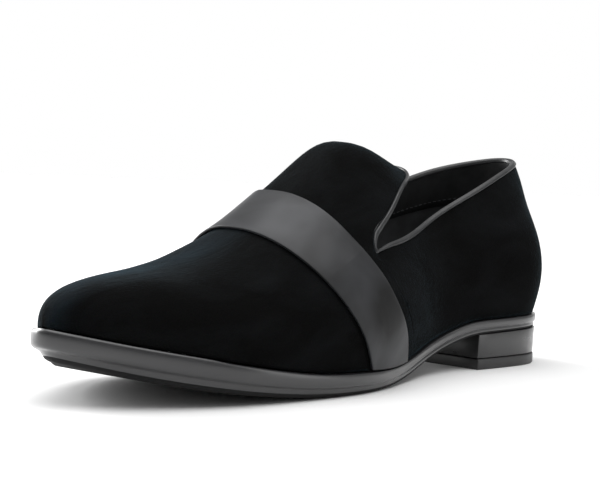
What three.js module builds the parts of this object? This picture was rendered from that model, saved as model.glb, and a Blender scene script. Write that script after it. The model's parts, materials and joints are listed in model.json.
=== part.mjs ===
import * as THREE from 'three'
import { mergeVertices } from 'three/addons/utils/BufferGeometryUtils.js'

// A left velvet loafer that stands on its heel and forefoot.
// Millimetres, +X to the toe, +Y to the outer side, +Z up, the floor at zero.

// Driving sizes of the last
const lastLength = 278
const ballWidth = 87
const heelWidth = 63
const instepHeight = 87
const backHeight = 71.5
const notchHeight = 49
const backHollow = 2.2
const backHollowHeight = 17
const backLean = 2.8
const backLeanPower = 1.6

// Driving sizes of the sole and heel
const heelSeatHeight = 15.7
const toeSpring = 15.5
const waistThickness = 6.2
const foreThickness = 9
const toeThickness = 12
const foreOverhang = 2.4
const waistOverhang = 1.4
const seatOverhang = 1.6
const foreStep = 1
const waistStep = 0.3
const seatStep = 0.8
const rimRound = 1.1
const foreBevel = 1.4
const toeBevel = 5
const heelLength = 61
const heelInset = 0.6
const heelTaper = 0.4
const breastHollow = 2.5
const liftThickness = 4.8
const liftEdge = 0.3

// Driving sizes of the upper and what is sewn to it
const wallThickness = 2
const bandThickness = 1.2
const bindingWidth = 3.2
const bindingHeight = 2.5
const insoleThickness = 2.5
const notchDepth = 3.5
const notchReach = 4.5

// Clearances
const seatGap = 0.3
const bandGap = 0.4
const bindingGap = 0.35
const insoleSideGap = 0.8

// Sections of the last. along is a share of its length, outer and inner are half widths and belly is
// the swell of the wall as shares of the local width, crest is a share of the instep height, lean is
// the crest's place to the outer side as a share of the local width, and round is the arch's exponent.
const sections = [
  { along: 0.00, outer: 0.54, inner: 0.41, crest: 0.92, lean: 0.01, round: 1.90, belly: 0.072 },
  { along: 0.08, outer: 0.53, inner: 0.45, crest: 0.91, lean: -0.02, round: 2.13, belly: 0.066 },
  { along: 0.18, outer: 0.51, inner: 0.51, crest: 0.91, lean: -0.05, round: 2.33, belly: 0.052 },
  { along: 0.30, outer: 0.47, inner: 0.49, crest: 0.805, lean: -0.10, round: 2.40, belly: 0.060 },
  { along: 0.41, outer: 0.50, inner: 0.40, crest: 1.01, lean: -0.13, round: 2.30, belly: 0.063 },
  { along: 0.52, outer: 0.53, inner: 0.37, crest: 0.87, lean: -0.12, round: 2.10, belly: 0.050 },
  { along: 0.62, outer: 0.53, inner: 0.43, crest: 0.655, lean: -0.085, round: 2.11, belly: 0.035 },
  { along: 0.72, outer: 0.50, inner: 0.49, crest: 0.468, lean: -0.065, round: 2.20, belly: 0.021 },
  { along: 0.82, outer: 0.445, inner: 0.48, crest: 0.335, lean: -0.04, round: 2.32, belly: 0.015 },
  { along: 0.91, outer: 0.38, inner: 0.39, crest: 0.275, lean: -0.03, round: 2.35, belly: 0.010 },
  { along: 1.00, outer: 0.30, inner: 0.30, crest: 0.245, lean: -0.025, round: 2.32, belly: 0.006 }
]

// The band's front and rear edge. around is the share of the way from the feather edge to the crest,
// front and rear are shares of the last's length.
const bandEdges = [
  { around: 0.00, front: 0.560, rear: 0.443 },
  { around: 0.10, front: 0.583, rear: 0.475 },
  { around: 0.25, front: 0.612, rear: 0.511 },
  { around: 0.50, front: 0.643, rear: 0.547 },
  { around: 0.75, front: 0.655, rear: 0.563 },
  { around: 1.00, front: 0.658, rear: 0.570 }
]

// Shares of the last's length at which its curves begin and end, and the powers of the curves
const widthStart = 0.3
const widthReach = 0.3
const foreStart = 0.4
const foreReach = 0.2
const tipStart = 0.6
const tipReach = 0.28
const ballStart = 0.54
const springStart = 0.595
const springPower = 1.9
const waistPower = 0.77
const toeWidthStart = 0.751
const toeWidthPower = 2
const toeBevelStart = 0.86
const toeHeightStart = 0.822
const toeHeightPower = 2.2
const heelRoundEnd = 0.11
const heelRoundPower = 2.3
const heelTurnShare = 0.122
const backShare = 0.215
const tongueShare = 0.296
const notchShare = 0.5036
const quarterShare = 0.4014
const tongueCurve = 0.9
const seamCurve = 2

// Small sizes of the curves
const seatTilt = 1.5
const swellHeight = 24.5
const toplineSag = 1.5
const toplineSway = 3

// The outsole's side from its top face down: a rounded rim over a plain side. round is a share of
// the rim's rounding, step of the step from the rim to the side, bevel of the bevel under the side,
// and drop of the thickness.
const soleSide = [
  { round: 1.00, step: 0.0, bevel: 0.0, drop: 0.00 },
  { round: 0.28, step: 0.0, bevel: 0.0, drop: 0.05 },
  { round: 0.00, step: 0.0, bevel: 0.0, drop: 0.15 },
  { round: 0.00, step: 0.0, bevel: 0.0, drop: 0.45 },
  { round: 0.35, step: 0.0, bevel: 0.1, drop: 0.57 },
  { round: 0.50, step: 0.5, bevel: 0.3, drop: 0.62 },
  { round: 0.10, step: 1.0, bevel: 0.5, drop: 0.67 },
  { round: 0.00, step: 1.0, bevel: 0.7, drop: 0.82 },
  { round: 0.30, step: 1.0, bevel: 1.0, drop: 1.00 }
]

// Half of the binding's section from its foot to its middle, as shares of its half width and height
const bindingSide = [
  { across: 1.00, up: 0.00 },
  { across: 1.00, up: 0.55 },
  { across: 0.72, up: 0.87 },
  { across: 0.26, up: 1.00 }
]

// Mesh steps: rows of the vamp and stations of the quarter
const toeRows = 15
const bandRows = 5
const throatRows = 5
const wallColumns = 6
const notchColumns = 4
const tongueColumns = 9
const tongueSpread = 1.9
const notchStations = 5
const sideStations = 8
const heelStations = 6
const soleStations = 38
const heelPoints = 12

// Places along the last
const notchPlace = lastLength * notchShare
const tonguePlace = lastLength * tongueShare
const quarterFoot = lastLength * quarterShare
const heelTurn = lastLength * heelTurnShare
const backReach = lastLength * backShare

const clamp = (value, low = 0, high = 1) => Math.min(Math.max(value, low), high)
const mix = (a, b, t) => a + (b - a) * t
const smooth = t => clamp(t) ** 2 * (3 - 2 * clamp(t))

// A natural cubic spline through the named column of a table
function column(rows, along, name) {
  const xs = rows.map(row => row[along])
  const ys = rows.map(row => row[name])
  const last = xs.length - 1
  const bend = new Array(last + 1).fill(0)
  const carry = new Array(last + 1).fill(0)
  for (let i = 1; i < last; i++) {
    const before = xs[i] - xs[i - 1]
    const after = xs[i + 1] - xs[i]
    const change = (ys[i + 1] - ys[i]) / after - (ys[i] - ys[i - 1]) / before
    const pivot = 2 * (before + after) - before * carry[i - 1]
    carry[i] = after / pivot
    bend[i] = (6 * change - before * bend[i - 1]) / pivot
  }
  for (let i = last - 1; i > 0; i--) {
    bend[i] -= carry[i] * bend[i + 1]
  }
  return value => {
    let i = 0
    while (i < last - 1 && value > xs[i + 1]) {
      i++
    }
    const span = xs[i + 1] - xs[i]
    const a = (xs[i + 1] - value) / span
    const b = (value - xs[i]) / span
    return a * ys[i] + b * ys[i + 1]
      + ((a ** 3 - a) * bend[i] + (b ** 3 - b) * bend[i + 1]) * span ** 2 / 6
  }
}

const shape = {}
for (const name of ['outer', 'inner', 'crest', 'lean', 'round', 'belly']) {
  shape[name] = column(sections, 'along', name)
}
const bandFront = column(bandEdges, 'around', 'front')
const bandRear = column(bandEdges, 'around', 'rear')

// How a width or height closes from one to nothing at an end of the last
function closing(share, start, power) {
  const t = clamp((share - start) / (1 - start))
  return Math.max(1 - t ** power, 0) ** (1 / power)
}

// Heights along the shoe: the sole's underside, its top and the feather edge of the upper
function underside(x) {
  const share = x / lastLength
  const breast = heelLength / lastLength
  const down = smooth(clamp((share - breast) / (ballStart - breast)) ** waistPower)
  const seat = heelSeatHeight * (1 - down) + seatTilt * Math.max(breast - share, 0) / breast
  return seat + toeSpring * clamp((share - springStart) / (1 - springStart)) ** springPower
}

// From the thin and narrow edge of the waist to the broad one of the forepart, and on to the toe
const fore = x => smooth((x / lastLength - foreStart) / foreReach)
const tip = x => smooth((x / lastLength - tipStart) / tipReach)

const thickness = x => mix(mix(waistThickness, foreThickness, fore(x)), toeThickness, tip(x))
const featherHeight = x => underside(x) + thickness(x) + seatGap

// Half widths, crest and the sideways centre of the section at x
function sectionAt(x) {
  const share = x / lastLength
  const width = mix(heelWidth, ballWidth, smooth((share - widthStart) / widthReach))
  const toe = closing(share, toeWidthStart, toeWidthPower)
  const heel = closing(1 - share, 1 - heelRoundEnd, heelRoundPower)
  const middle = (shape.outer(share) - shape.inner(share)) / 2 * width
  const half = (shape.outer(share) + shape.inner(share)) / 2 * width * toe * heel
  return {
    width,
    toe,
    middle,
    half,
    crest: instepHeight * shape.crest(share) * closing(share, toeHeightStart, toeHeightPower),
    crestSide: middle + (shape.lean(share) * width - middle) * toe,
    round: shape.round(share),
    belly: shape.belly(share) * width
  }
}

// The outside of the upper. around runs from 0 at the outer feather edge over the crest to pi at the
// inner one. Beyond the ends of the last the surface goes on round on the other side.
function skin(x, around) {
  if (x < 0) {
    return skin(-x, Math.PI - around)
  }
  if (x > lastLength) {
    return skin(2 * lastLength - x, Math.PI - around)
  }
  const side = around <= Math.PI / 2 ? 1 : -1
  const angle = side > 0 ? around : Math.PI - around
  const s = sectionAt(x)
  const over = Math.max(Math.cos(angle), 0) ** (2 / s.round)
  const up = s.crest * Math.max(Math.sin(angle), 0) ** (2 / s.round)
  const swell = s.belly * s.toe * Math.sin(Math.PI * clamp(up / (2 * swellHeight)))
  const edge = s.middle + side * s.half
  const back = clamp(1 - x / backReach) ** 2
  const hollow = backHollow * clamp(1 - up / backHollowHeight) ** 2
  const rise = clamp((up - backHollowHeight) / (backHeight - backHollowHeight), 0, 2)
  const lean = backLean * rise ** backLeanPower
  return new THREE.Vector3(
    x + (hollow + lean) * back,
    mix(s.crestSide, edge, over) + side * swell,
    featherHeight(x) + up
  )
}

// The outward direction of the upper's outside
function outward(x, around) {
  if (x > lastLength - 0.01) {
    return new THREE.Vector3(1, 0, 0)
  }
  const stepX = 0.05
  const stepAround = 0.004
  const low = clamp(around - stepAround, 0, Math.PI)
  const high = clamp(around + stepAround, 0, Math.PI)
  const alongEdge = skin(x - stepX, around).sub(skin(x + stepX, around))
  const upward = skin(x, high).sub(skin(x, low))
  return alongEdge.cross(upward).normalize()
}

// A point beside the surface. On the feather edge it moves level, so that walls end flat there.
function offsetSkin(x, around, distance) {
  const away = outward(x, around)
  if (around === 0 || around === Math.PI) {
    const level = Math.hypot(away.x, away.y)
    away.set(away.x, away.y, 0).divideScalar(level ** 2)
  }
  return skin(x, around).addScaledVector(away, distance)
}

// Where the wall at x reaches a height above the feather edge
function aroundAt(x, height) {
  const s = sectionAt(x)
  return Math.asin(clamp(height / s.crest) ** (s.round / 2))
}

// A closed surface gathered face by face. Faces wind anticlockwise seen from outside.
class Faces {
  constructor() {
    this.corners = []
  }

  triangle(a, b, c) {
    if (a.equals(b) || b.equals(c) || c.equals(a)) {
      return
    }
    this.corners.push(a, b, c)
  }

  quad(a, b, c, d) {
    this.triangle(a, b, c)
    this.triangle(a, c, d)
  }

  // A grid of points, rows of columns. Its outside faces along row step times column step.
  sheet(rows) {
    for (let i = 1; i < rows.length; i++) {
      for (let j = 1; j < rows[i].length; j++) {
        this.quad(rows[i - 1][j - 1], rows[i][j - 1], rows[i][j], rows[i - 1][j])
      }
    }
  }

  // The same grid seen from its other side
  back(rows) {
    for (let i = 1; i < rows.length; i++) {
      for (let j = 1; j < rows[i].length; j++) {
        this.quad(rows[i - 1][j - 1], rows[i - 1][j], rows[i][j], rows[i][j - 1])
      }
    }
  }

  // The strip that joins a border of the outer sheet, in the sense in which its faces run, to the inner one
  rim(outer, inner) {
    for (let i = 1; i < outer.length; i++) {
      this.quad(outer[i], outer[i - 1], inner[i - 1], inner[i])
    }
  }

  // The flat or gently curved face inside a ring whose first half mirrors its second half
  cap(ring) {
    const count = ring.length
    for (let i = 0; i < count / 2; i++) {
      this.quad(ring[i], ring[i + 1], ring[(count - i - 1) % count], ring[(count - i) % count])
    }
  }

  fan(centre, ring) {
    ring.forEach((point, i) => this.triangle(centre, point, ring[(i + 1) % ring.length]))
  }

  mesh(name, color, roughness) {
    const geometry = new THREE.BufferGeometry().setFromPoints(this.corners)
    const merged = mergeVertices(geometry, 1e-4)
    merged.computeVertexNormals()
    const mesh = new THREE.Mesh(merged, new THREE.MeshStandardMaterial({ color, roughness, metalness: 0 }))
    mesh.name = name
    return mesh
  }
}

// The opening: a notch at each side, the quarter's top edge behind it and the tongue's edge before it
const notchTop = featherHeight(notchPlace) + notchHeight
const backTop = featherHeight(0) + backHeight
const notchAround = aroundAt(notchPlace, notchHeight)

const notchRise = x => notchDepth * Math.sqrt(1 - (1 - clamp((notchPlace - x) / notchReach)) ** 2)

// Height of the quarter's top edge at x
function toplineHeight(x) {
  const t = clamp(1 - x / notchPlace)
  return mix(notchTop, backTop, t) - toplineSag * Math.sin(Math.PI * t)
    - toplineSway * Math.sin(2 * Math.PI * t) - notchRise(x)
}

// How far around the last the tongue's edge lies at x
function tongueAround(x) {
  const t = clamp((notchPlace - x) / (notchPlace - tonguePlace))
  if (t === 1) {
    return Math.PI / 2
  }
  const top = featherHeight(x) + sectionAt(x).crest
  const climb = (top - notchTop - notchDepth) * (1 - (1 - t) ** tongueCurve)
  return aroundAt(x, notchTop + notchRise(x) + climb - featherHeight(x))
}

// The line that falls from a place on the top edge to one on the feather edge, upright at its top
const seamPlace = (foot, top, share) => top - (top - foot) * (1 - share) ** seamCurve

// Columns of the vamp from the outer feather edge over the crest to the inner one, each with the
// place where it ends on the throat
const halfColumns = []
for (let j = 0; j < wallColumns; j++) {
  const share = j / wallColumns
  halfColumns.push({ around: notchAround * share, throat: seamPlace(quarterFoot, notchPlace, share) })
}
for (let j = 0; j <= notchColumns; j++) {
  const x = notchPlace - notchReach * (1 - Math.cos(Math.PI / 2 * j / notchColumns))
  halfColumns.push({ around: tongueAround(x), throat: x })
}
for (let j = 1; j <= tongueColumns; j++) {
  const share = (1 - j / tongueColumns) ** tongueSpread
  const x = mix(tonguePlace, notchPlace - notchReach, share)
  halfColumns.push({ around: tongueAround(x), throat: x })
}
halfColumns.forEach((place, j) => {
  place.even = Math.PI / 2 * j / (halfColumns.length - 1)
})
const columns = [
  ...halfColumns.map(place => ({ ...place, side: 1 })),
  ...halfColumns.slice(0, -1).reverse().map(place => ({ ...place, side: -1 }))
]

// The point of the vamp's grid in a row and column: even steps at the toe, the throat's at the rear
function vampPoint(row, place, distance) {
  if (row === 0) {
    return offsetSkin(lastLength, 0, distance)
  }
  const spread = smooth(row / (toeRows + bandRows))
  const around = mix(place.even, place.around, spread)
  const share = around / (Math.PI / 2)
  const front = lastLength * bandFront(share)
  const rear = lastLength * bandRear(share)
  let x = mix(rear, place.throat, (row - toeRows - bandRows) / throatRows)
  if (row <= toeRows) {
    x = mix(front, lastLength, Math.cos(Math.PI / 2 * row / toeRows))
  } else if (row <= toeRows + bandRows) {
    x = mix(front, rear, (row - toeRows) / bandRows)
  }
  return offsetSkin(x, place.side > 0 ? around : Math.PI - around, distance)
}

const vampRows = toeRows + bandRows + throatRows

function vampGrid(distance, first, last) {
  const rows = []
  for (let row = first; row <= last; row++) {
    rows.push(columns.map(place => vampPoint(row, place, distance)))
  }
  return rows
}

// Stations of the quarter from the outer notch round the heel to the inner one, as places on the
// feather edge and on the top edge
const sideStationList = []
for (let k = 0; k <= notchStations; k++) {
  const share = 1 - Math.cos(Math.PI / 2 * k / notchStations)
  sideStationList.push({
    foot: mix(quarterFoot, quarterFoot - notchReach, share),
    top: notchPlace - notchReach * share
  })
}
for (let k = 1; k <= sideStations; k++) {
  const share = k / sideStations
  sideStationList.push({
    foot: mix(quarterFoot - notchReach, heelTurn, share),
    top: mix(notchPlace - notchReach, heelTurn, share)
  })
}
for (let k = 1; k <= heelStations; k++) {
  const place = heelTurn * (1 - Math.sin(Math.PI / 2 * k / heelStations))
  sideStationList.push({ foot: place, top: place })
}
const stations = [
  ...sideStationList.map(station => ({ ...station, side: 1 })),
  ...sideStationList.slice(0, -1).reverse().map(station => ({ ...station, side: -1 }))
]

function quarterGrid(distance) {
  return stations.map((station, k) => {
    const atNotch = k === 0 || k === stations.length - 1
    const height = toplineHeight(station.top) - featherHeight(station.top)
    const top = atNotch ? notchAround : aroundAt(station.top, height)
    const points = []
    for (let j = 0; j <= wallColumns; j++) {
      const x = seamPlace(station.foot, station.top, j / wallColumns)
      const around = top * j / wallColumns
      points.push(offsetSkin(x, station.side > 0 ? around : Math.PI - around, distance))
    }
    return points
  })
}

// The wall's borders in the sense in which the faces of the outside run
function borders(vamp, quarter) {
  const lastColumn = columns.length - 1
  const feather = [
    ...vamp.map(row => row[0]),
    ...quarter.slice(1, -1).map(points => points[0]),
    ...vamp.map(row => row[lastColumn]).reverse()
  ]
  const topline = [
    ...vamp[vampRows].slice(wallColumns, lastColumn - wallColumns + 1),
    ...quarter.slice(0, -1).reverse().map(points => points[wallColumns])
  ]
  return { feather, topline }
}

function makeWall(distance) {
  const vamp = vampGrid(distance, 0, vampRows)
  const quarter = quarterGrid(distance)
  return { vamp, quarter, ...borders(vamp, quarter) }
}

const outside = makeWall(0)
const inside = makeWall(-wallThickness)

// The upper: a thin wall open at the collar and underneath
function makeUpper() {
  const faces = new Faces()
  faces.sheet(outside.vamp)
  faces.sheet(outside.quarter)
  faces.back(inside.vamp)
  faces.back(inside.quarter)
  faces.rim(outside.feather, inside.feather)
  faces.rim(outside.topline, inside.topline)
  return faces.mesh('upper', 0x10141c, 0.95)
}

// The band over the vamp, cut from the upper's own surface between its two edges
function makeBand() {
  const low = vampGrid(bandGap, toeRows, toeRows + bandRows)
  const high = vampGrid(bandGap + bandThickness, toeRows, toeRows + bandRows)
  const faces = new Faces()
  faces.sheet(high)
  faces.back(low)
  const around = rows => [
    ...rows.map(row => row[0]),
    ...rows[bandRows].slice(1),
    ...rows.map(row => row[columns.length - 1]).reverse().slice(1),
    ...[...rows[0]].reverse().slice(1)
  ]
  faces.rim(around(high), around(low))
  return faces.mesh('vamp_band', 0x2e3034, 0.45)
}

// The binding: a rounded bead along the opening's rim
function makeBinding() {
  const side = bindingSide.map(row => ({
    across: row.across * bindingWidth / 2,
    up: row.up * bindingHeight + bindingGap
  }))
  const section = [...side, ...side.map(row => ({ across: -row.across, up: row.up })).reverse()]
  const middles = outside.topline.map((point, i) => point.clone().lerp(inside.topline[i], 0.5))
  const count = middles.length - 1
  const rings = middles.map((middle, i) => {
    const across = outside.topline[i].clone().sub(inside.topline[i]).normalize()
    const behind = middle.clone().sub(middles[(i + count - 1) % count]).normalize()
    const ahead = middles[(i + 1) % count].clone().sub(middles[i % count]).normalize().add(behind)
    const up = ahead.cross(across).normalize()
    return section.map(row => middle.clone()
      .addScaledVector(across, row.across)
      .addScaledVector(up, row.up))
  })
  rings[count] = rings[0]
  const faces = new Faces()
  faces.back(rings.map(ring => [...ring, ring[0]]))
  return faces.mesh('topline_binding', 0x24262a, 0.55)
}

// Points of the feather edge in plan, from the toe along the outer side to the heel and back
const ringPlaces = []
for (let k = 0; k <= soleStations; k++) {
  ringPlaces.push({ x: lastLength * (1 + Math.cos(Math.PI * k / soleStations)) / 2, around: 0 })
}
for (let k = soleStations - 1; k > 0; k--) {
  ringPlaces.push({ x: ringPlaces[k].x, around: Math.PI })
}

// A point beside the feather edge, moved out in plan and set at a height
function beside(place, distance, height) {
  const point = skin(place.x, place.around)
  const away = outward(place.x, place.around)
  const reach = Math.hypot(away.x, away.y)
  return new THREE.Vector3(
    point.x + away.x / reach * distance,
    point.y + away.y / reach * distance,
    height
  )
}

// How far the outsole stands out from the feather edge, and how far its side steps in below its rim
const waist = x => smooth(x / heelLength - 0.5)
const overhang = x => mix(mix(seatOverhang, waistOverhang, waist(x)), foreOverhang, fore(x))
const sideStep = x => mix(mix(seatStep, waistStep, waist(x)), foreStep, fore(x))
const toeward = x => smooth((x / lastLength - toeBevelStart) / (1 - toeBevelStart))
const bevel = x => mix(fore(x) * foreBevel, toeBevel, toeward(x))

// The outsole: rings from the edge of its top face down its stepped side to its underside
function makeOutsole() {
  const rings = soleSide.map(row => ringPlaces.map(place => {
    const inset = row.round * rimRound + row.step * sideStep(place.x) + row.bevel * bevel(place.x)
    const height = underside(place.x) + thickness(place.x) * (1 - row.drop)
    return beside(place, overhang(place.x) - inset, height)
  }))
  const faces = new Faces()
  faces.cap(rings[0])
  for (let i = 1; i < rings.length; i++) {
    faces.rim([...rings[i - 1], rings[i - 1][0]], [...rings[i], rings[i][0]])
  }
  faces.cap([rings[rings.length - 1][0], ...rings[rings.length - 1].slice(1).reverse()])
  return faces.mesh('outsole', 0x1c1d1f, 0.4)
}

function makeInsole() {
  const inset = -(wallThickness + insoleSideGap)
  const low = ringPlaces.map(place => beside(place, inset, featherHeight(place.x)))
  const high = low.map(point => point.clone().setZ(point.z + insoleThickness))
  const faces = new Faces()
  faces.cap(high)
  faces.rim([...high, high[0]], [...low, low[0]])
  faces.cap([low[0], ...low.slice(1).reverse()])
  return faces.mesh('insole', 0x2a2b2c, 0.7)
}

// The heel's plan at one level, from the outer breast corner round the back to the inner one and
// back along the hollow breast
function heelRing(inset, heightAt) {
  const ring = []
  for (const [around, step] of [[0, 1], [Math.PI, -1]]) {
    for (let k = step > 0 ? 0 : heelPoints - 1; step > 0 ? k <= heelPoints : k >= 0; k += step) {
      const x = heelLength * (1 - Math.sin(Math.PI / 2 * k / heelPoints))
      ring.push(beside({ x, around }, overhang(x) - inset, heightAt(x)))
    }
  }
  const outer = ring[0]
  const inner = ring[ring.length - 1]
  for (let k = 1; k < heelPoints / 2; k++) {
    const share = k / (heelPoints / 2)
    const point = inner.clone().lerp(outer, share)
    point.x -= breastHollow * (1 - (2 * share - 1) ** 2)
    point.z = heightAt(point.x)
    ring.push(point)
  }
  return ring
}

// A closed solid of the heel's plan at two or more levels, the highest first
function heelSolid(name, color, roughness, levels) {
  const rings = levels.map(level => heelRing(level.inset, level.heightAt))
  const centres = levels.map((level, i) => {
    const middle = (rings[i][0].y + rings[i][heelPoints * 2].y) / 2
    return new THREE.Vector3(heelLength / 2, middle, level.heightAt(heelLength / 2))
  })
  const last = levels.length - 1
  const faces = new Faces()
  faces.fan(centres[0], rings[0])
  for (let i = 1; i <= last; i++) {
    faces.rim([...rings[i - 1], rings[i - 1][0]], [...rings[i], rings[i][0]])
  }
  faces.fan(centres[last], [...rings[last]].reverse())
  return faces.mesh(name, color, roughness)
}

function makeHeelBlock() {
  const seat = x => underside(x) - seatGap
  const foot = liftThickness + seatGap
  return heelSolid('heel_block', 0x202123, 0.35, [
    { inset: heelInset, heightAt: seat },
    { inset: heelInset + heelTaper, heightAt: () => foot }
  ])
}

function makeTopLift() {
  const inset = heelInset + heelTaper - liftEdge
  return heelSolid('top_lift', 0x151515, 0.8, [
    { inset, heightAt: () => liftThickness },
    { inset, heightAt: () => 0 }
  ])
}

// The shoe stands with the middle of its outline over the origin
const loafer = new THREE.Group()
loafer.add(makeUpper(), makeBand(), makeBinding())
loafer.add(makeOutsole(), makeInsole(), makeHeelBlock(), makeTopLift())
const extent = new THREE.Box3().setFromObject(loafer)
loafer.position.set(-(extent.min.x + extent.max.x) / 2, -(extent.min.y + extent.max.y) / 2, 0)

export default loafer
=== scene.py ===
# %% [markdown]
# # A velvet loafer
#
# The shoe comes from the frame as plain solids: a hollow upper, a band, a binding, an insole, an
# outsole, a heel block and a top lift. This lesson turns them into the goods a shoemaker would
# use. Lengths are metres, +X points to the toe, +Y to the outer side and +Z up.

# %% Load the frame
import json
import math
import bmesh
import bpy
from mathutils import Matrix, Vector

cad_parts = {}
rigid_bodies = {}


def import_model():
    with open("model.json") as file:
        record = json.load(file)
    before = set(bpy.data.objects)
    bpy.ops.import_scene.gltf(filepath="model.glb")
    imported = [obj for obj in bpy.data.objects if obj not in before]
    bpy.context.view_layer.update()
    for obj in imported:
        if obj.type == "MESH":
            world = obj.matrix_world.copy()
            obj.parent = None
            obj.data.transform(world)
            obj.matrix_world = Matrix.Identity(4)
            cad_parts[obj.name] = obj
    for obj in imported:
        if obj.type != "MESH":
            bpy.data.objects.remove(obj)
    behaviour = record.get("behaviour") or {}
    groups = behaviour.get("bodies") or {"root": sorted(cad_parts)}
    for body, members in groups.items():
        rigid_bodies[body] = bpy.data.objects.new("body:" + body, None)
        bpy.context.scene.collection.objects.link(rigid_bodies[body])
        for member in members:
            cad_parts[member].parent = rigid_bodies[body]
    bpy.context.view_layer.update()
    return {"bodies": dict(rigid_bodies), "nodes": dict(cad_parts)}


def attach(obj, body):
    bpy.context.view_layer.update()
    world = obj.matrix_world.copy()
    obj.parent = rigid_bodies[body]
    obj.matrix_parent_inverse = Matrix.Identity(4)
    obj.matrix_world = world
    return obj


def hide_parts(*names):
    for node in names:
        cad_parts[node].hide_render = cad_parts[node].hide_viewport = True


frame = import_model()
MM = 0.001

# %% [markdown]
# ## The camera
#
# A photographer's camera stands low in front of the toe, a little to the outer side. Its place is
# given by two angles round the shoe, a distance and a small roll, because those are the numbers
# that a tripod has. A long lens keeps the toe from looming.

# %% Camera
PHOTO_WIDTH = 600
FOCAL_PIXELS = 1481.2
SENSOR = 36.0
AZIMUTH = math.radians(130.9)
ELEVATION = math.radians(3.08)
ROLL = math.radians(2.2)
DISTANCE = 609.6 * MM
TARGET = Vector((2.5, -5.2, 52.0)) * MM

backward = Vector((
    math.sin(AZIMUTH) * math.cos(ELEVATION),
    -math.cos(AZIMUTH) * math.cos(ELEVATION),
    math.sin(ELEVATION),
))
level = (-backward).cross(Vector((0, 0, 1))).normalized()
upright = level.cross(-backward)
right = level * math.cos(ROLL) + upright * math.sin(ROLL)
up = upright * math.cos(ROLL) - level * math.sin(ROLL)

lens = bpy.data.cameras.new("camera")
lens.sensor_width = SENSOR
lens.sensor_fit = "HORIZONTAL"
lens.lens = FOCAL_PIXELS / PHOTO_WIDTH * SENSOR
lens.clip_start = 0.01
camera = bpy.data.objects.new("camera", lens)
bpy.context.scene.collection.objects.link(camera)
turn = Matrix((right, up, backward)).transposed().to_4x4()
camera.matrix_world = Matrix.Translation(TARGET + backward * DISTANCE) @ turn
bpy.context.scene.camera = camera
print("camera at", [round(value, 3) for value in camera.matrix_world.translation])

# %% [markdown]
# ## Small tools
#
# Each tool does one thing. `copy_of` takes a solid from the frame, merges its loose triangles and
# joins them to the squares that they came from, because a subdivision surface runs evenly over
# squares. `sheet_of` takes one side of a thin wall, found as the faces that are reached without
# crossing a sharp edge.

# %% Cages from the frame
MERGE = 0.01
SLIVER = 0.4
SHARP = math.radians(48)
ROOT = list(frame["bodies"])[0]


def copy_of(node):
    """The node's solid, merged, without slivers, and with squares where its triangles were squares."""
    cage = bmesh.new()
    cage.from_mesh(frame["nodes"][node].data)
    bmesh.ops.remove_doubles(cage, verts=cage.verts, dist=MERGE * MM)
    if node == "upper":
        bmesh.ops.dissolve_degenerate(cage, edges=cage.edges, dist=SLIVER * MM)
    bmesh.ops.join_triangles(
        cage, faces=cage.faces, angle_face_threshold=math.radians(50),
        angle_shape_threshold=math.radians(75), topology_influence=1.3,
    )
    return cage


def angle_of(edge):
    return edge.calc_face_angle(math.pi)


def sides_of(cage):
    """The groups of faces that sharp edges part, the largest first."""
    waiting = dict.fromkeys(cage.faces)
    groups = []
    while waiting:
        group = [next(iter(waiting))]
        del waiting[group[0]]
        for face in group:
            for edge in face.edges:
                if angle_of(edge) < SHARP:
                    for other in edge.link_faces:
                        if other in waiting:
                            del waiting[other]
                            group.append(other)
        groups.append(group)
    return sorted(groups, key=lambda group: -sum(face.calc_area() for face in group))


def sheet_of(node, rank):
    """One side of a thin solid: rank 0 is the side with the most area, the outer one."""
    cage = copy_of(node)
    cage.faces.ensure_lookup_table()
    side = sides_of(cage)[rank]
    kept = set(side)
    spare = [face for face in cage.faces if face not in kept]
    guide = max(side, key=lambda face: face.calc_area())
    bmesh.ops.delete(cage, geom=spare, context="FACES")
    bmesh.ops.holes_fill(cage, edges=[edge for edge in cage.edges if edge.is_boundary], sides=8)
    outward = guide.normal.copy()
    bmesh.ops.recalc_face_normals(cage, faces=cage.faces)
    if guide.normal.dot(outward) < 0:
        bmesh.ops.reverse_faces(cage, faces=cage.faces)
    return cage


for node in ("upper", "vamp_band", "outsole"):
    cage = copy_of(node)
    squares = sum(len(face.verts) == 4 for face in cage.faces)
    areas = [round(sum(face.calc_area() for face in group) / MM ** 2) for group in sides_of(cage)[:4]]
    print(node, squares, "squares of", len(cage.faces), "sides in mm2", areas)
    cage.free()

# %% [markdown]
# ## Rounding a cage
#
# A subdivision surface rounds a cage, but it also draws it in. `smoothed` moves the cage's points
# outwards a few times, until the rounded skin passes close to where the points stood. Sculpting by
# hand would do it too, but would not follow when a size of the shoe changes.

# %% Rounding
HOLD_ROUNDS = 3
HOLD_SHARE = 0.8


def object_from(name, cage):
    mesh = bpy.data.meshes.new(name)
    cage.to_mesh(mesh)
    cage.free()
    made = bpy.data.objects.new(name, mesh)
    bpy.context.scene.collection.objects.link(made)
    return made


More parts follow.
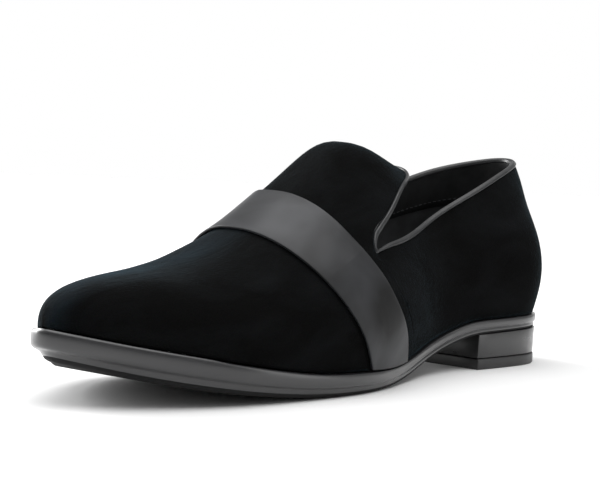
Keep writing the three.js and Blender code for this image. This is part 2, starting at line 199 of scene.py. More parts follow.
def smoothed(cage, levels):
    """The cage after some levels of subdivision, whose rounded form still meets the cage's points."""
    wanted = [vert.co.copy() for vert in cage.verts]
    draft = object_from("draft", cage)
    rounding = draft.modifiers.new("Rounding", "SUBSURF")
    rounding.levels = rounding.render_levels = levels
    rounding.boundary_smooth = "PRESERVE_CORNERS"
    for _ in range(HOLD_ROUNDS):
        mesh = bpy.data.meshes.new_from_object(draft.evaluated_get(bpy.context.evaluated_depsgraph_get()))
        for vert, target in zip(draft.data.vertices, wanted):
            vert.co += (target - mesh.vertices[vert.index].co) * HOLD_SHARE
        draft.data.update()
        bpy.data.meshes.remove(mesh)
    mesh = bpy.data.meshes.new_from_object(draft.evaluated_get(bpy.context.evaluated_depsgraph_get()))
    missed = [(target - vert.co).length / MM for target, vert in zip(wanted, mesh.vertices)]
    print("rounded form misses its cage by", round(sum(missed) / len(missed), 3), "mm on average")
    bpy.data.objects.remove(draft)
    fine = bmesh.new()
    fine.from_mesh(mesh)
    fine.normal_update()
    return fine


# %% [markdown]
# ## Pressing, notches and rims
#
# `press` makes the soft troughs and ridges of worn cloth. `draw_notch` draws the bottom of each V
# cut to a point, as a shoemaker's knife leaves it, in every layer alike. `reach_up` lets a layer run
# on into the bead of the binding, so that no slit shows at the collar.

# %% Pressing and notches
FAINT = 0.01
NOTCH_REACH = 5.0
NOTCH_PULL = 3.8
NOTCH_PINCH = 0.85
NOTCH_AXIS = Vector((-0.84, 0.0, 0.55))
NOTCH_SIDE = 0.82
NOTCH_RISE = 0.57
bead_points = [vert.co.copy() for vert in frame["nodes"]["topline_binding"].data.vertices]
NOTCH_TIPS = [min((point for point in bead_points if point.y * side > 0), key=lambda point: point.z)
              for side in (1, -1)]
print("notch tips", [[round(value / MM, 1) for value in tip] for tip in NOTCH_TIPS])


def press(cage, centre, along, length, width, depth):
    """A soft trough, or a ridge where depth is negative, round centre and along a direction."""
    middle = Vector(centre) * MM
    course = Vector(along).normalized()
    for vert in cage.verts:
        offset = vert.co - middle
        run = offset.dot(course) / (length * MM)
        aside = (offset - course * offset.dot(course)).length / (width * MM)
        share = math.exp(-run * run - aside * aside)
        if share > FAINT:
            vert.co -= vert.normal * depth * MM * share


def draw_notch(cage):
    """Pulls the round bottom of each notch down its axis and pinches its two sides to a point."""
    for tip in NOTCH_TIPS:
        outward = Vector((0.0, math.copysign(NOTCH_SIDE, tip.y), NOTCH_RISE))
        across = NOTCH_AXIS.cross(outward).normalized()
        for vert in cage.verts:
            offset = vert.co - tip
            share = math.exp(-(offset.length / (NOTCH_REACH * MM)) ** 2)
            if share > FAINT:
                pinch = across * offset.dot(across) * NOTCH_PINCH
                vert.co -= (NOTCH_AXIS * NOTCH_PULL * MM + pinch) * share


# %% Rims
OPENING_HEIGHT = 45 * MM
RIM_REACH = 0.6


def reach_up(cage, length):
    """Widens a sheet by a row of faces along the opening, so that its rim ends inside the bead."""
    cage.verts.index_update()
    rim = [edge for edge in cage.edges
           if edge.is_boundary and min(vert.co.z for vert in edge.verts) > OPENING_HEIGHT]
    inward = {}
    for vert in {vert for edge in rim for vert in edge.verts}:
        inner = [edge.other_vert(vert).co for edge in vert.link_edges if not edge.is_boundary]
        if inner:
            inward[vert.index] = (vert.co - sum(inner, Vector()) / len(inner)).normalized()
    grown = bmesh.ops.extrude_edge_only(cage, edges=rim)["geom"]
    fresh = [item for item in grown if isinstance(item, bmesh.types.BMVert)]
    for vert in fresh:
        source = [edge.other_vert(vert) for edge in vert.link_edges if not edge.is_boundary]
        source = [other for other in source if other not in fresh]
        if source and source[0].index in inward:
            vert.co += inward[source[0].index] * length * MM


# %% Dressing
EDGE_LIMIT = math.radians(40)


def crease_sharp(cage, angle, strength):
    layer = cage.edges.layers.float.get("crease_edge") or cage.edges.layers.float.new("crease_edge")
    for edge in cage.edges:
        if edge.is_boundary or angle_of(edge) > angle:
            edge[layer] = strength


def dress(name, cage, materials, nodes=(), rounding=0, wall=0.0, edge=0.0):
    """Makes a piece of the cage: rounded, given a wall under its outside and a rounded edge."""
    made = object_from(name, cage)
    made.data.polygons.foreach_set("use_smooth", [True] * len(made.data.polygons))
    for material in materials:
        made.data.materials.append(material)
    if rounding:
        subdivision = made.modifiers.new("Rounding", "SUBSURF")
        subdivision.levels = subdivision.render_levels = rounding
        subdivision.boundary_smooth = "PRESERVE_CORNERS"
    if wall:
        thickness = made.modifiers.new("Wall", "SOLIDIFY")
        thickness.thickness = wall * MM
        thickness.offset = -1
    if edge:
        bevel = made.modifiers.new("Edge", "BEVEL")
        bevel.width = edge * MM
        bevel.segments = 3
        bevel.limit_method = "ANGLE"
        bevel.angle_limit = EDGE_LIMIT
    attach(made, ROOT)
    if nodes:
        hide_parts(*nodes)
    shown = made.evaluated_get(bpy.context.evaluated_depsgraph_get()).to_mesh()
    shown.calc_loop_triangles()
    print(name, len(shown.loop_triangles), "triangles")
    return made


# %% [markdown]
# ## Colours and nodes
#
# Cloth colours are written as sRGB hex values, as a dye card gives them, and made linear by one
# function. One more function adds a node with its settings, values and links.

# %% Colour and node helpers


def dye(code):
    """The linear colour of an sRGB hex value, with full cover."""
    parts = [int(code[i:i + 2], 16) / 255 for i in (1, 3, 5)]
    return [p / 12.92 if p <= 0.04045 else ((p + 0.055) / 1.055) ** 2.4 for p in parts] + [1.0]


def add(tree, kind, values=None, links=None, **settings):
    """A shader node with its settings, its sockets' values and the links into it."""
    made = tree.nodes.new("ShaderNode" + kind)
    for name, value in settings.items():
        setattr(made, name, value)
    for socket, value in (values or {}).items():
        made.inputs[socket].default_value = value
    for socket, source in (links or {}).items():
        tree.links.new(source, made.inputs[socket])
    return made


def new_material(name):
    made = bpy.data.materials.new(name)
    made.use_nodes = True
    made.node_tree.nodes.clear()
    return made, made.node_tree


def per_mm(size):
    """A noise scale whose features are about size millimetres across."""
    return 1 / (size * MM)


def finish_material(tree, shader):
    add(tree, "OutputMaterial", links={"Surface": shader.outputs[0]})


# %% [markdown]
# ## Velvet
#
# Cotton velvet is woven with a short dense pile that swallows light seen straight on and catches
# it at a grazing angle. Sheen gives that edge light. Brushing leaves patches a few centimetres
# long where the pile leans another way, drawn here as long soft noise in colour and height. On the
# toe's inner side the patches are also painted bluer and lighter: this is painted sheen, standing
# in for the edge light that the pile catches there. Pile tufts are about 0.3 mm apart and drawn at
# 0.7 mm, so that they show at all. The back seam is a dark line where the two halves meet at the
# heel.

# %% Velvet material
back_point = min((vert.co for vert in frame["nodes"]["upper"].data.vertices), key=lambda co: co.x)
SEAM_HALF = 0.5
SEAM_FADE = (-0.12, -0.115)
# Where the painted sheen on the toe's inner side fades in: along X from the waist, across Y from the
# middle
SHEEN_PAINT_FROM_WAIST = (0.02, 0.1)
SHEEN_PAINT_FROM_MIDDLE = (0.012, -0.008)
print("back point in mm", [round(value / MM, 1) for value in back_point])

# %% Velvet colour
velvet, tree = new_material("Cotton velvet, woven with a cut and brushed pile")
place = add(tree, "TexCoord").outputs["Object"]
combed = add(tree, "Mapping", {"Scale": (0.4, 1.0, 0.8)}, {"Vector": place})
patches = add(tree, "TexNoise",
              {"Scale": per_mm(19), "Detail": 3.0, "Roughness": 0.55, "Distortion": 0.7},
              {"Vector": combed.outputs[0]})
strokes = add(tree, "TexNoise", {"Scale": per_mm(2.6), "Detail": 3.0, "Roughness": 0.62},
              {"Vector": combed.outputs[0]})
tufts = add(tree, "TexNoise", {"Scale": per_mm(0.7), "Detail": 2.0, "Roughness": 0.7},
            {"Vector": place})
tone = add(tree, "ValToRGB", links={"Fac": patches.outputs["Fac"]})
tone.color_ramp.elements[0].position = 0.38
tone.color_ramp.elements[0].color = dye("#080808")
tone.color_ramp.elements[1].position = 0.68
tone.color_ramp.elements[1].color = dye("#101112")
sides = add(tree, "SeparateXYZ", links={"Vector": place})
# Painted sheen: a mask of patches on the toe's inner side, where the colour is made bluer and lighter
brushed = add(tree, "MapRange",
              {"From Min": SHEEN_PAINT_FROM_WAIST[0], "From Max": SHEEN_PAINT_FROM_WAIST[1]},
              {"Value": sides.outputs["X"]}, interpolation_type="SMOOTHSTEP")
inward = add(tree, "MapRange",
             {"From Min": SHEEN_PAINT_FROM_MIDDLE[0], "From Max": SHEEN_PAINT_FROM_MIDDLE[1]},
             {"Value": sides.outputs["Y"]}, interpolation_type="SMOOTHSTEP")
painted_sheen_patches = add(tree, "MapRange", {"From Min": 0.3, "From Max": 0.75},
             {"Value": patches.outputs["Fac"]})
brushed = add(tree, "Math", links={0: brushed.outputs[0], 1: inward.outputs[0]}, operation="MULTIPLY")
brushed = add(tree, "Math", links={0: brushed.outputs[0], 1: painted_sheen_patches.outputs[0]}, operation="MULTIPLY")
# The painted sheen mixes the velvet's tone towards a light blue grey
lit = add(tree, "Mix", {"B": dye("#1b2830")}, {"Factor": brushed.outputs[0], "A": tone.outputs[0]},
          data_type="RGBA")
fleck = add(tree, "Mix", {"Factor": 0.4}, {"A": lit.outputs["Result"], "B": tufts.outputs["Color"]},
            data_type="RGBA", blend_type="SOFT_LIGHT")
print(velvet.name, len(tree.nodes), "nodes so far")

# %% Velvet seam and pile
beside = add(tree, "Math", {1: back_point.y}, {0: sides.outputs["Y"]}, operation="SUBTRACT")
beside = add(tree, "Math", links={0: beside.outputs[0]}, operation="ABSOLUTE")
seam = add(tree, "MapRange", {"From Max": SEAM_HALF * MM}, {"Value": beside.outputs[0]})
front = add(tree, "MapRange", {"From Min": SEAM_FADE[0], "From Max": SEAM_FADE[1]},
            {"Value": sides.outputs["X"]})
cloth = add(tree, "Math", links={0: seam.outputs[0], 1: front.outputs[0]}, operation="MAXIMUM")
sewn = add(tree, "Mix", {"A": dye("#010102")}, {"Factor": cloth.outputs[0], "B": fleck.outputs["Result"]},
           data_type="RGBA")
nap = add(tree, "Math", links={0: strokes.outputs["Fac"], 1: tufts.outputs["Fac"]}, operation="ADD")
lean = add(tree, "Bump", {"Strength": 0.6, "Distance": 1.8 * MM}, {"Height": patches.outputs["Fac"]})
pile = add(tree, "Bump", {"Strength": 0.7, "Distance": 0.45 * MM},
           {"Height": nap.outputs[0], "Normal": lean.outputs[0]})
joined = add(tree, "Bump", {"Strength": 0.8, "Distance": 0.4 * MM},
             {"Height": cloth.outputs[0], "Normal": pile.outputs[0]})
finish_material(tree, add(
    tree, "BsdfPrincipled",
    {"Roughness": 0.95, "Specular IOR Level": 0.04, "Sheen Weight": 0.22, "Sheen Roughness": 0.2,
     "Sheen Tint": dye("#7d9cab")},
    {"Base Color": sewn.outputs["Result"], "Normal": joined.outputs[0]},
))
print(velvet.name, len(tree.nodes), "nodes")

# %% [markdown]
# ## Satin
#
# The band is polyester satin over a thin stiffener, heat pressed. Its long floats give one broad
# soft highlight, which breaks into cloudy patches two or three centimetres across where the cloth
# was pressed unevenly. One dark patch low on the band is painted shade and one light patch on the
# vamp is a painted highlight, each placed round a given point. The floats are about 0.1 mm wide and
# drawn at 0.5 mm, across the band.

# %% Satin material
# Centres of the painted shade, low on the band, and of the painted highlight, on the vamp
PAINTED_SHADE_AT = Vector((6.5, 45.4, 31.0)) * MM
PAINTED_HIGHLIGHT_AT = Vector((30.0, 12.0, 65.0)) * MM
satin, tree = new_material("Polyester satin, woven and heat pressed")
place = add(tree, "TexCoord").outputs["Object"]
clouds = add(tree, "TexNoise",
             {"Scale": per_mm(22), "Detail": 2.5, "Roughness": 0.5, "Distortion": 0.5},
             {"Vector": place})
drawn = add(tree, "Mapping", {"Scale": (0.12, 1.0, 1.0)}, {"Vector": place})
floats = add(tree, "TexNoise", {"Scale": per_mm(0.5), "Detail": 1.5, "Roughness": 0.6},
             {"Vector": drawn.outputs[0]})
# Painted shade: the colour darkens round one point low on the band
from_painted_shade = add(tree, "VectorMath", {1: PAINTED_SHADE_AT}, {0: place}, operation="DISTANCE")
painted_shade = add(tree, "MapRange",
                {"From Min": 5 * MM, "From Max": 17 * MM, "To Min": 0.45, "To Max": 1.0},
                {"Value": from_painted_shade.outputs["Value"]}, interpolation_type="SMOOTHSTEP")
# Painted highlight: the colour lightens round one point on the vamp
from_painted_highlight = add(tree, "VectorMath", {1: PAINTED_HIGHLIGHT_AT}, {0: place}, operation="DISTANCE")
painted_highlight = add(tree, "MapRange",
                {"From Min": 3 * MM, "From Max": 20 * MM, "To Min": 0.4, "To Max": -0.06},
                {"Value": from_painted_highlight.outputs["Value"]}, interpolation_type="SMOOTHSTEP")
# The painted highlight is added to the random clouds, then the painted shade to both
lift = add(tree, "Math", links={0: painted_highlight.outputs[0], 1: clouds.outputs["Fac"]}, operation="ADD")
marks = add(tree, "Math", links={0: lift.outputs[0], 1: painted_shade.outputs[0]}, operation="ADD")
marks = add(tree, "Math", {1: -1.0}, {0: marks.outputs[0]}, operation="ADD")
# Colour from near black in the painted shade to light grey at the painted highlight and light clouds
tone = add(tree, "ValToRGB", links={"Fac": marks.outputs[0]})
tone.color_ramp.elements[0].position = 0.0
tone.color_ramp.elements[0].color = dye("#050505")
tone.color_ramp.elements[1].position = 0.9
tone.color_ramp.elements[1].color = dye("#3a3b3e")
print(satin.name, len(tree.nodes), "nodes so far")

# %% Satin gloss and weave
gloss = add(tree, "MapRange", {"From Min": 0.0, "From Max": 0.8, "To Min": 0.52, "To Max": 0.36},
            {"Value": marks.outputs[0]})
cockle = add(tree, "Bump", {"Strength": 0.35, "Distance": 1.4 * MM}, {"Height": clouds.outputs["Fac"]})
weave = add(tree, "Bump", {"Strength": 0.22, "Distance": 0.06 * MM},
            {"Height": floats.outputs["Fac"], "Normal": cockle.outputs[0]})
finish_material(tree, add(
    tree, "BsdfPrincipled",
    {"Specular IOR Level": 0.26, "Sheen Weight": 0.05, "Sheen Roughness": 0.4,
     "Sheen Tint": dye("#9aa0a8")},
    {"Base Color": tone.outputs[0], "Roughness": gloss.outputs[0], "Normal": weave.outputs[0]},
))
print(satin.name, len(tree.nodes), "nodes")

# %% [markdown]
# ## Leathers
#
# Binding, lining, sock and facing are thin leathers that differ in colour, gloss and grain size.
# Leather grain is a net of small cells with soft creases between them, which Voronoi cells give. One
# function makes them all, with the cell size in millimetres. It makes the waxed thread too, whose
# plies look much like a fine grain at this size.

# %% Leather maker
GLOSS_SPREAD = 0.07


def leather(name, dark, light, grain, roughness, depth):
    """A grained leather: two colours, the grain's size in mm, its gloss and its depth in mm."""
    made, tree = new_material(name)
    place = add(tree, "TexCoord").outputs["Object"]
    wander = add(tree, "TexNoise", {"Scale": per_mm(grain * 3), "Detail": 2.0}, {"Vector": place})
    bent = add(tree, "Mix", {"Factor": 0.0015}, {"A": place, "B": wander.outputs["Color"]},
               data_type="RGBA", blend_type="ADD")
    cells = add(tree, "TexVoronoi", {"Scale": per_mm(grain)}, {"Vector": bent.outputs["Result"]},
                feature="DISTANCE_TO_EDGE")
    crease = add(tree, "MapRange", {"From Max": 0.25}, {"Value": cells.outputs["Distance"]})
    stain = add(tree, "TexNoise", {"Scale": per_mm(9), "Detail": 3.0}, {"Vector": place})
    tone = add(tree, "ValToRGB", links={"Fac": stain.outputs["Fac"]})
    tone.color_ramp.elements[0].position = 0.35
    tone.color_ramp.elements[0].color = dye(dark)
    tone.color_ramp.elements[1].position = 0.7
    tone.color_ramp.elements[1].color = dye(light)
    wear = add(tree, "MapRange",
               {"From Min": 0.3, "From Max": 0.7,
                "To Min": roughness + GLOSS_SPREAD, "To Max": roughness - GLOSS_SPREAD},
               {"Value": stain.outputs["Fac"]})
    relief = add(tree, "Bump", {"Strength": 0.5, "Distance": depth * MM},
                 {"Height": crease.outputs[0]})
    finish_material(tree, add(
        tree, "BsdfPrincipled", {"Specular IOR Level": 0.5},
        {"Base Color": tone.outputs[0], "Roughness": wear.outputs[0], "Normal": relief.outputs[0]},
    ))
    print(name, len(tree.nodes), "nodes")
    return made


# %% Leather materials
# Skived thin and rolled, the binding is fine grained and takes a soft shine
binding_leather = leather("Binding leather, skived and rolled", "#161719", "#232426", 0.9, 0.4, 0.05)
# Glazing presses the grain nearly flat. The lining leather is black; its light grey is painted
# reflection, standing in for the shine of its glazed face
lining_leather = leather("Lining leather, glazed", "#4a4b4c", "#5d5e60", 1.1, 0.5, 0.04)
# Embossing gives a coarser even grain and less shine
sock_leather = leather("Sock leather, embossed", "#262728", "#343537", 1.4, 0.55, 0.06)
# Buffing raises a short nap that hardly shines
facing_leather = leather("Facing leather, buffed to a short nap", "#161718", "#232425", 0.7, 0.8, 0.08)

# %% Thread
# Wax darkens the twisted plies and leaves a dull shine
waxed_thread = leather("Polyester thread, twisted and waxed", "#2e3032", "#46494c", 0.5, 0.5, 0.05)

# %% [markdown]
# ## Sole and heel finishes
#
# The sole's edge and the heel are trimmed, inked black and polished with wax, so they shine softly
# and keep fine marks of the trimming iron that run along the edge. The tread and the top lift are
# plain moulded rubber with a fine grit and scuffs. One function makes them all.

# %% Edge and rubber maker
COATED_SPECULAR = 0.5
BARE_SPECULAR = 0.25


def edge_finish(name, dark, light, roughness, scuff, grit, stretch, coat):
    """A trimmed edge or plain rubber, with marks and grit in mm, drawn out along a stretch."""
    made, tree = new_material(name)
    place = add(tree, "TexCoord").outputs["Object"]
    along = add(tree, "Mapping", {"Scale": stretch}, {"Vector": place})
    marks = add(tree, "TexNoise", {"Scale": per_mm(scuff), "Detail": 4.0, "Roughness": 0.6},
                {"Vector": along.outputs[0]})
    grains = add(tree, "TexNoise", {"Scale": per_mm(grit), "Detail": 2.0, "Roughness": 0.6},
                 {"Vector": along.outputs[0]})
    tone = add(tree, "ValToRGB", links={"Fac": marks.outputs["Fac"]})
    tone.color_ramp.elements[0].position = 0.35
    tone.color_ramp.elements[0].color = dye(dark)
    tone.color_ramp.elements[1].position = 0.75
    tone.color_ramp.elements[1].color = dye(light)
    shine = add(tree, "MapRange",
                {"From Min": 0.3, "From Max": 0.7,
                 "To Min": roughness - 0.06, "To Max": roughness + 0.08},
                {"Value": marks.outputs["Fac"]})
    relief = add(tree, "Bump", {"Strength": 0.25, "Distance": 0.08 * MM},
                 {"Height": grains.outputs["Fac"]})
    specular = COATED_SPECULAR if coat else BARE_SPECULAR
    finish_material(tree, add(
        tree, "BsdfPrincipled",
        {"Specular IOR Level": specular, "Coat Weight": coat, "Coat Roughness": 0.22},
        {"Base Color": tone.outputs[0], "Roughness": shine.outputs[0], "Normal": relief.outputs[0]},
    ))
    print(name, len(tree.nodes), "nodes")
    return made


# %% Edge and rubber materials
# Wax over ink shines most along the rim, with marks of the iron drawn out along it
sole_edge = edge_finish(
    "Sole edge, trimmed, inked and waxed", "#18181a", "#252527",
    roughness=0.34, scuff=6, grit=0.8, stretch=(0.2, 0.2, 1.4), coat=0.6,
)
# The heel has the same finish, darker and with a thinner coat of wax
heel_edge = edge_finish(
    "Heel stack, trimmed, inked and waxed", "#101011", "#1a1b1c",
    roughness=0.32, scuff=7, grit=0.8, stretch=(0.3, 0.3, 1.6), coat=0.3,
)
# Moulded rubber is matt and its grit has no direction
tread = edge_finish(
    "Sole rubber, moulded", "#0a0a0b", "#141415",
    roughness=0.75, scuff=12, grit=0.9, stretch=(1, 1, 1), coat=0.0,
)
# A cut from sheet is smoother, with a faint shine on its edge
lift_rubber = edge_finish(
    "Top lift rubber, cut from sheet", "#19191a", "#242425",
    roughness=0.45, scuff=5, grit=0.7, stretch=(0.5, 0.5, 1.2), coat=0.1,
)

# %% [markdown]
# ## The velvet upper
#
# The upper's outer side becomes a sheet of velvet, 1.1 mm thick with its backing. The inner side is
# kept for the lining. Soft troughs are pressed in: over the ball where the shoe bends, beside the
# toe, and on the quarters where the last was pulled out. The back seam is a line in the material.
# At the collar the velvet runs on into the binding and is gripped by it.

# %% Velvet sheet
GRIP = 0.5
GRIP_LEVEL = 0.6
JOIN_BACK = -30 * MM
JOIN_FRONT = 4 * MM
JOIN_SIDE = 25 * MM
JOIN_TOP = 50 * MM
JOIN_ROUNDS = 3

shell = smoothed(sheet_of("upper", 0), 1)
reach_up(shell, RIM_REACH)
shell.normal_update()
gripped = [vert for vert in shell.verts if vert.is_boundary and vert.co.z > OPENING_HEIGHT]
for vert in gripped:
    vert.co -= vert.normal * GRIP * MM * max(0.0, 1 - vert.normal.z / GRIP_LEVEL)
# Where the vamp's rows meet the quarter's, under each notch, the sheet is evened out
joins = [vert for vert in shell.verts if not vert.is_boundary
         and JOIN_BACK < vert.co.x < JOIN_FRONT
         and abs(vert.co.y) > JOIN_SIDE and vert.co.z < JOIN_TOP]
for _ in range(JOIN_ROUNDS):
    bmesh.ops.smooth_vert(shell, verts=joins, factor=0.5,
                          use_axis_x=True, use_axis_y=True, use_axis_z=True)
draw_notch(shell)
print(len(gripped), "points gripped by the binding,", len(joins), "evened out")

# %% Velvet upper
VELVET_WALL = 1.1
TROUGHS = [
    {"centre": (52, 30, 44), "along": (-0.5, 0.6, -0.5), "length": 20, "width": 6, "depth": 0.5},
    {"centre": (60, -34, 42), "along": (-0.5, -0.6, -0.5), "length": 20, "width": 6, "depth": 0.5},
    {"centre": (98, 22, 40), "along": (1, -0.3, 0), "length": 18, "width": 7, "depth": 0.4},
    {"centre": (-40, 30, 48), "along": (1, 0, 0.3), "length": 22, "width": 8, "depth": 0.5},
    {"centre": (-85, 32, 55), "along": (0.4, 0, 1), "length": 16, "width": 8, "depth": 0.45},
    {"centre": (-45, -34, 50), "along": (1, 0, 0.4), "length": 22, "width": 8, "depth": 0.5},
]
for trough in TROUGHS:
    press(shell, **trough)
dress("velvet_upper", shell, [velvet], ["upper"], rounding=1, wall=VELVET_WALL)

# %% [markdown]
# ## The lining and its facing
#
# Inside, glazed leather lines the shoe, and a darker strip faces the top edge, about as wide as a
# finger. The strip is the two rows of the lining's faces next to the opening, laid on as a second
# thin layer and sewn down along its lower edge.

# %% Lining and facing
FACING_ROWS = 2
FACING_RAISED = 0.45
LINING_WALL = 0.7
FACING_WALL = 0.6

lining_cage = sheet_of("upper", 1)
near = {vert for vert in lining_cage.verts if vert.is_boundary and vert.co.z > OPENING_HEIGHT}
for _ in range(FACING_ROWS):
    strip = {face for vert in near for face in vert.link_faces}
    near = {vert for face in strip for vert in face.verts}
for face in strip:
    face.material_index = 1
fine = smoothed(lining_cage, 1)
reach_up(fine, RIM_REACH)
for vert in fine.verts:
    if vert.is_boundary and vert.co.z > OPENING_HEIGHT:
        for face in vert.link_faces:
            face.material_index = 1
draw_notch(fine)
fine.normal_update()
facing_cage = fine.copy()
spare = [face for face in facing_cage.faces if face.material_index != 1]
bmesh.ops.delete(facing_cage, geom=spare, context="FACES")
for piece in (fine, facing_cage):
    for face in piece.faces:
        face.material_index = 0
for vert in facing_cage.verts:
    vert.co += vert.normal * FACING_RAISED * MM
dress("lining", fine, [lining_leather], ["upper"], rounding=1, wall=LINING_WALL)
facing = dress("facing", facing_cage, [facing_leather], rounding=1, wall=FACING_WALL)

# %% [markdown]
# ## Stitches of the facing
#
# Waxed thread holds the facing's lower edge to the lining. The edge is walked vertex by vertex, and
# every few millimetres one small ellipsoid, a stitch, is laid along it. A stitch is only a few
# dozen faces, because there are more than a hundred.

# %% Facing stitches
STITCH_PITCH = 2.8
STITCH_SIZE = (1.0, 0.26, 0.26)
STITCH_INSET = 0.6
STITCH_RAISED = 0.1
SHORT_ROW = 40


def walk(edges):
    """The vertices of the boundary edges in order, as separate closed rows."""
    left = dict.fromkeys(edges)
    rows = []
    while left:
        edge = next(iter(left))
        del left[edge]
        row = [edge.verts[0], edge.verts[1]]
        while True:
            step = next((other for other in row[-1].link_edges if other in left), None)
            if step is None:
                break
            del left[step]
            row.append(step.other_vert(row[-1]))
        rows.append(row)
    return rows


def stitch_row(places, pitch, size):
    """Ellipsoids laid every pitch along a row of places with the surface's normals."""
    thread = bmesh.new()
    spare_length = 0.0
    for (place, outward), (beyond, _) in zip(places, places[1:]):
        course = beyond - place
        while spare_length < course.length:
            at = place + course.normalized() * spare_length
            aside = outward.cross(course).normalized()
            turn = Matrix((course.normalized(), aside, outward)).transposed().to_4x4()
            scale = Matrix.Diagonal([value * MM for value in size] + [1.0])
            bmesh.ops.create_uvsphere(thread, u_segments=8, v_segments=5, radius=1.0,
                                      matrix=Matrix.Translation(at) @ turn @ scale)
            spare_length += pitch * MM
        spare_length -= course.length
    return thread


edging = bmesh.new()
edging.from_mesh(facing.data)
edging.normal_update()
rows = walk([edge for edge in edging.edges if edge.is_boundary])
rows = [row for row in rows if len(row) > SHORT_ROW]
lower = min(rows, key=lambda row: sum(vert.co.z for vert in row) / len(row))
course = []
for vert in lower:
    inside = [edge.other_vert(vert) for edge in vert.link_edges if not edge.is_boundary]
    if inside:
        place = vert.co.lerp(inside[0].co, STITCH_INSET) + vert.normal * STITCH_RAISED * MM
        course.append((place, vert.normal.copy()))
thread = stitch_row(course, STITCH_PITCH, STITCH_SIZE)
edging.free()
dress("facing_stitches", thread, [waxed_thread])

# %% [markdown]
# ## The satin band
#
# The band is the outer side of its solid, given a wall again with both edges folded under, which
# rounds them. A few soft cockles are pressed in where satin pulls over the curve of the vamp.

# %% Satin band
strap = smoothed(sheet_of("vamp_band", 0), 1)
COCKLES = [
    {"centre": (22, 32, 50), "along": (0.5, 0, -1), "length": 9, "width": 4, "depth": 0.35},
    {"centre": (5, 46, 23), "along": (1, 0, 0.2), "length": 14, "width": 5, "depth": -0.5},
    {"centre": (7, 44, 36), "along": (1, 0, 0.2), "length": 12, "width": 5, "depth": 0.5},
    {"centre": (32, 12, 62), "along": (1, 0, -0.4), "length": 8, "width": 5, "depth": 0.3},
    {"centre": (34, -24, 56), "along": (1, 0, -0.4), "length": 9, "width": 5, "depth": 0.35},
]
for cockle in COCKLES:
    press(strap, **cockle)
dress("satin_band", strap, [satin], ["vamp_band"], rounding=1, wall=1.1, edge=0.35)

# %% [markdown]
# ## The rolled binding
#
# A bead of leather is rolled round the opening. Its solid already has the bead's section, so
# rounding finishes it. It is made a little slimmer, because leather is skived before it is rolled,
# and its notches are drawn to a point with the layers that it grips.

# %% Binding
SLIMMER = 0.16
bead = smoothed(copy_of("topline_binding"), 1)
for vert in bead.verts:
    vert.co -= vert.normal * SLIMMER * MM
draw_notch(bead)
dress("rolled_binding", bead, [binding_leather], ["topline_binding"], rounding=1)

# %% [markdown]
# ## Outsole
#
# The outsole keeps its solid's outline. Its edges are creased before it is rounded, so that the
# rim, the step and the bevel stay apart under the waist and the heel. On the forepart the steps melt
# into each other, as a moulded edge does. The underside gets the plain rubber: it is found by
# spreading from its widest face over every face that turns only a little from its neighbour.

# %% Outsole edges
WAIST_END = 0.0
EDGE_ANGLE = math.radians(38)
EDGE_STRENGTH = 0.55
LEVEL = 0.97

sole_cage = copy_of("outsole")
sole_cage.normal_update()
crease_sharp(sole_cage, EDGE_ANGLE, EDGE_STRENGTH)
creases = sole_cage.edges.layers.float["crease_edge"]
softened = 0
for edge in sole_cage.edges:
    forward = min(vert.co.x for vert in edge.verts) > WAIST_END
    if forward and max(abs(face.normal.z) for face in edge.link_faces) < LEVEL:
        edge[creases] = 0.0
        softened += 1
print(softened, "edges of the forepart left soft")

# %% Outsole
DOWNWARD = -0.9
UNDERSIDE = -0.8
SPREAD_ANGLE = math.radians(20)

widest = max((face for face in sole_cage.faces if face.normal.z < DOWNWARD),
             key=lambda face: face.calc_area())
under = {widest}
waiting = [widest]
while waiting:
    for edge in waiting.pop().edges:
        for other in edge.link_faces:
            if other not in under and other.normal.z < UNDERSIDE and angle_of(edge) < SPREAD_ANGLE:
                under.add(other)
                waiting.append(other)
lowest = {other for face in under for edge in face.edges for other in edge.link_faces} - under
for face in under | lowest:
    face.material_index = 1
print(len(under), "faces of tread")
dress("outsole_dressed", sole_cage, [sole_edge, tread], ["outsole"], rounding=2)

# %% [markdown]
# ## Sock
#
# A sock of thin leather is glued over the whole insole. It takes the insole's own shape, rounded and
# creased a little at its rim, so that the glued edge stays crisp.

# %% Sock
sock_cage = copy_of("insole")
crease_sharp(sock_cage, math.radians(45), 0.6)
dress("sock", smoothed(sock_cage, 2), [sock_leather], ["insole"], rounding=1)

# %% [markdown]
# ## Heel
#
# The heel block and its top lift keep their solids' shape and get softly rounded edges. The block's
# top is raised a little, to meet the sole, whose rounding draws it in.

# %% Heel block and top lift
SEATED = 0.2
SEAT_DEPTH = 6.0

block_cage = copy_of("heel_block")
seat = max(vert.co.z for vert in block_cage.verts) - SEAT_DEPTH * MM
for vert in block_cage.verts:
    if vert.co.z > seat:
        vert.co.z += SEATED * MM
dress("heel_stack", block_cage, [heel_edge], ["heel_block"], edge=0.3)
dress("rubber_lift", copy_of("top_lift"), [lift_rubber], ["top_lift"], edge=0.5)

# %% [markdown]
# ## Studio
#
# The shoe stands on a plain pale floor of matt paper. The room round it is bright where the camera
# looks and darker elsewhere, so that the background is white and the blacks stay deep. One very wide
# soft light hangs over the shoe, one soft box behind it at the left grazes the velvet, and a small
# one at the right runs down the heel.

# %% Floor
ground = bmesh.new()
bmesh.ops.create_circle(ground, cap_ends=True, segments=96, radius=8.0)
bmesh.ops.translate(ground, verts=ground.verts, vec=(0, 0, -0.02 * MM))
floor = object_from("floor", ground)
paper, tree = new_material("Paper sheet, matt")
place = add(tree, "TexCoord").outputs["Object"]
fibre = add(tree, "TexNoise", {"Scale": per_mm(60), "Detail": 2.0}, {"Vector": place})
tone = add(tree, "ValToRGB", links={"Fac": fibre.outputs["Fac"]})
tone.color_ramp.elements[0].color = dye("#f0f0f0")
tone.color_ramp.elements[1].color = dye("#f4f4f4")
finish_material(tree, add(tree, "BsdfPrincipled", {"Roughness": 0.9, "Specular IOR Level": 0.0},
                          {"Base Color": tone.outputs[0]}))
floor.data.materials.append(paper)
print("floor of", paper.name)

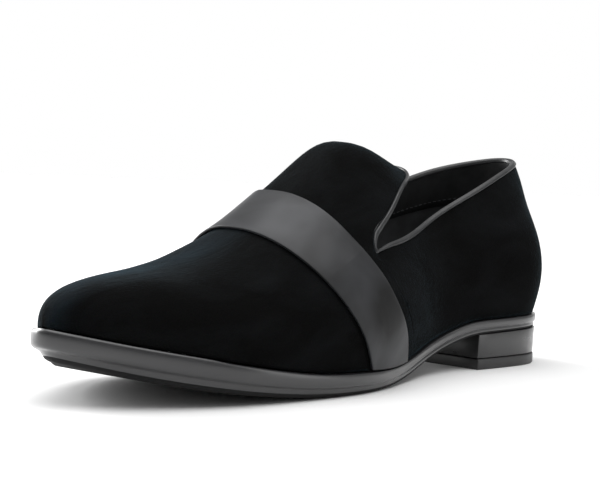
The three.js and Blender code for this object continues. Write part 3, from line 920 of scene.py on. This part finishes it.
# %% Room
BACKDROP = 1.0
ROOM = 0.3
CEILING = 0.3

world = bpy.data.worlds.new("studio")
world.use_nodes = True
tree = world.node_tree
heading = add(tree, "TexCoord").outputs["Generated"]
skyward = add(tree, "SeparateXYZ", links={"Vector": heading})
facing_lens = add(tree, "VectorMath", {1: backward}, {0: heading}, operation="DOT_PRODUCT")
wall = add(tree, "MapRange",
           {"From Min": -0.95, "From Max": -0.55, "To Min": BACKDROP, "To Max": ROOM},
           {"Value": facing_lens.outputs["Value"]}, interpolation_type="SMOOTHSTEP")
strength = add(tree, "MapRange", {"From Min": 0.17, "From Max": 0.42, "To Max": CEILING},
               {"Value": skyward.outputs["Z"], "To Min": wall.outputs[0]},
               interpolation_type="SMOOTHSTEP")
tree.links.new(strength.outputs[0], tree.nodes["Background"].inputs["Strength"])
tree.nodes["Background"].inputs["Color"].default_value = (1, 1, 1, 1)
bpy.context.scene.world = world
bpy.context.scene.view_settings.view_transform = "Standard"
print("room strengths", BACKDROP, ROOM, CEILING)

# %% Lights
OVERHEAD = 2.75
OVERHEAD_SPREAD = math.radians(75)

sky = bpy.data.lights.new("overhead", "SUN")
sky.energy = OVERHEAD
sky.angle = OVERHEAD_SPREAD
overhead = bpy.data.objects.new("overhead", sky)
bpy.context.scene.collection.objects.link(overhead)


def soft_box(name, across, height, toward, size, power):
    """An area light placed by how far right, up and towards the camera it stands, in metres."""
    lamp = bpy.data.lights.new(name, "AREA")
    lamp.shape = "RECTANGLE"
    lamp.size, lamp.size_y = size
    lamp.energy = power
    made = bpy.data.objects.new(name, lamp)
    bpy.context.scene.collection.objects.link(made)
    spot = level * across + Vector((0, 0, height)) + Vector((backward.x, backward.y, 0)) * toward
    made.location = spot
    made.rotation_euler = (TARGET - spot).to_track_quat("-Z", "Y").to_euler()
    print(name, "at", [round(value, 2) for value in spot])


soft_box("left_box", -1.1, 0.5, -0.7, (0.8, 0.9), 24)
soft_box("right_box", 1.2, 0.4, 0.2, (0.4, 0.9), 2.5)
